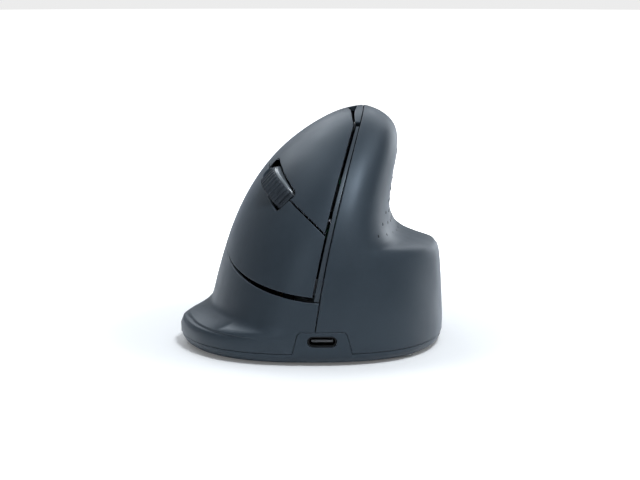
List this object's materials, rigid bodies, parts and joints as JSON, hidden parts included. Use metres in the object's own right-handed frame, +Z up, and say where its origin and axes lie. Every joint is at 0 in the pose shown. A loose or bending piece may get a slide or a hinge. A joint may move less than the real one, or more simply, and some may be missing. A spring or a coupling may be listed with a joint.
{
  "type": "vertical computer mouse",
  "caption": "Upright right-handed wireless computer mouse with two finger buttons, a ribbed scroll wheel, a thumb shelf, a little-finger ledge and a charging port in front.",
  "frame": {"origin": "centre of the footprint's bounding box, on the desk, under the glide feet", "axes": "+Z up; -Y is the front, with the charging port; +Y is the palm end towards the wrist; +X is the thumb side, -X the finger side"},
  "size_m": [0.0873, 0.119, 0.078],
  "materials": {
    "casing": "satin",
    "base": "satin",
    "trim": "satin",
    "tyre": "matte",
    "hub": "gloss",
    "steel": "satin",
    "plastic": "satin",
    "plunger": "gloss",
    "board": "satin",
    "chip": "satin",
    "lens": "clear",
    "cell": "satin",
    "foam": "matte",
    "glide": "satin",
    "red_wire": "satin",
    "black_wire": "satin",
    "ribbon": "satin"
  },
  "bodies": {
    "body": {"base_shell": "base", "finger_shell": "casing", "thumb_shell": "casing", "trim_strip": "trim", "carrier_bracket": "plastic", "carrier_spring": "steel", "index_switch": "plastic", "middle_switch": "plastic", "wheel_switch": "chip", "forward_switch": "chip", "back_switch": "chip", "button_board": "board", "inner_frame": "plastic", "main_board": "board", "thumb_board": "board", "motion_sensor": "chip", "sensor_lens": "lens", "port_shell": "steel", "port_tongue": "chip", "power_switch": "chip", "pairing_switch": "chip", "battery": "cell", "battery_pad": "foam", "battery_plug": "plunger", "battery_lead_red": "red_wire", "battery_lead_black": "black_wire", "button_ribbon": "ribbon", "thumb_ribbon": "ribbon", "case_screw_1": "steel", "case_screw_2": "steel", "case_screw_3": "steel", "case_screw_4": "steel", "glide_foot_1": "glide", "glide_foot_2": "glide", "glide_foot_3": "glide", "glide_foot_4": "glide"},
    "index_button": {"index_button": "casing"},
    "middle_button": {"middle_button": "casing"},
    "forward_button": {"forward_button": "casing"},
    "back_button": {"back_button": "casing"},
    "carrier": {"wheel_carrier": "plastic"},
    "wheel": {"wheel_hub": "hub", "wheel_tyre": "tyre", "wheel_axle": "steel"},
    "index_plunger": {"index_plunger": "plunger"},
    "middle_plunger": {"middle_plunger": "plunger"},
    "wheel_plunger": {"wheel_plunger": "plunger"},
    "forward_plunger": {"forward_plunger": "plunger"},
    "back_plunger": {"back_plunger": "plunger"},
    "power_slider": {"power_slider": "plastic"},
    "pairing_button": {"pairing_button": "plastic"}
  },
  "joints": [
    {"name": "index_press", "type": "hinge", "parent": "body", "child": "index_button", "pos_m": [-0.01161, -0.00047, 0.05929], "axis": [0.6735, -0.1078, 0.7313], "range_deg": [0, 0.75], "stiffness_Nm_per_rad": 0.8, "springref_deg": -0.69},
    {"name": "middle_press", "type": "hinge", "parent": "body", "child": "middle_button", "pos_m": [-0.01161, -0.00047, 0.05929], "axis": [0.6735, -0.1078, 0.7313], "range_deg": [0, 0.75], "stiffness_Nm_per_rad": 0.8, "springref_deg": -0.69},
    {"name": "index_switch_travel", "type": "slide", "parent": "body", "child": "index_plunger", "axis": [0.7067, 0.3838, -0.5943], "range_m": [0, 0.0006]},
    {"name": "middle_switch_travel", "type": "slide", "parent": "body", "child": "middle_plunger", "axis": [0.7067, 0.3838, -0.5943], "range_m": [0, 0.0006]},
    {"name": "wheel_press", "type": "hinge", "parent": "body", "child": "carrier", "pos_m": [-0.00742, -0.01165, 0.0531], "axis": [0.6735, -0.1078, 0.7313], "range_deg": [0, 1.1], "stiffness_Nm_per_rad": 0.8, "springref_deg": -0.86, "deforming": ["carrier_spring"]},
    {"name": "wheel_switch_travel", "type": "slide", "parent": "body", "child": "wheel_plunger", "axis": [0.7067, 0.3838, -0.5943], "range_m": [0, 0.0008]},
    {"name": "wheel_spin", "type": "hinge", "parent": "carrier", "child": "wheel", "pos_m": [-0.0053, -0.02808, 0.04872], "axis": [0.6735, -0.1078, 0.7313], "continuous": true},
    {"name": "forward_press", "type": "slide", "parent": "body", "child": "forward_button", "axis": [-1, 0, 0], "range_m": [0, 0.0005], "stiffness_N_per_m": 500, "springref_m": -0.0006},
    {"name": "back_press", "type": "slide", "parent": "body", "child": "back_button", "axis": [-1, 0, 0], "range_m": [0, 0.0005], "stiffness_N_per_m": 500, "springref_m": -0.0006},
    {"name": "forward_switch_travel", "type": "slide", "parent": "body", "child": "forward_plunger", "axis": [-1, 0, 0], "range_m": [0, 0.0006]},
    {"name": "back_switch_travel", "type": "slide", "parent": "body", "child": "back_plunger", "axis": [-1, 0, 0], "range_m": [0, 0.0006]},
    {"name": "power_travel", "type": "slide", "parent": "body", "child": "power_slider", "axis": [0, 1, 0], "range_m": [0, 0.002]},
    {"name": "pairing_press", "type": "slide", "parent": "body", "child": "pairing_button", "axis": [0, 0, 1], "range_m": [0, 0.0004], "stiffness_N_per_m": 400, "springref_m": -0.0004}
  ],
  "couplings": [
    {"joint": "index_switch_travel", "follows": "index_press", "m_per_rad": 0.03923},
    {"joint": "middle_switch_travel", "follows": "middle_press", "m_per_rad": 0.03923},
    {"joint": "wheel_switch_travel", "follows": "wheel_press", "m_per_rad": 0.0333},
    {"joint": "forward_switch_travel", "follows": "forward_press", "ratio": 1},
    {"joint": "back_switch_travel", "follows": "back_press", "ratio": 1}
  ]
}
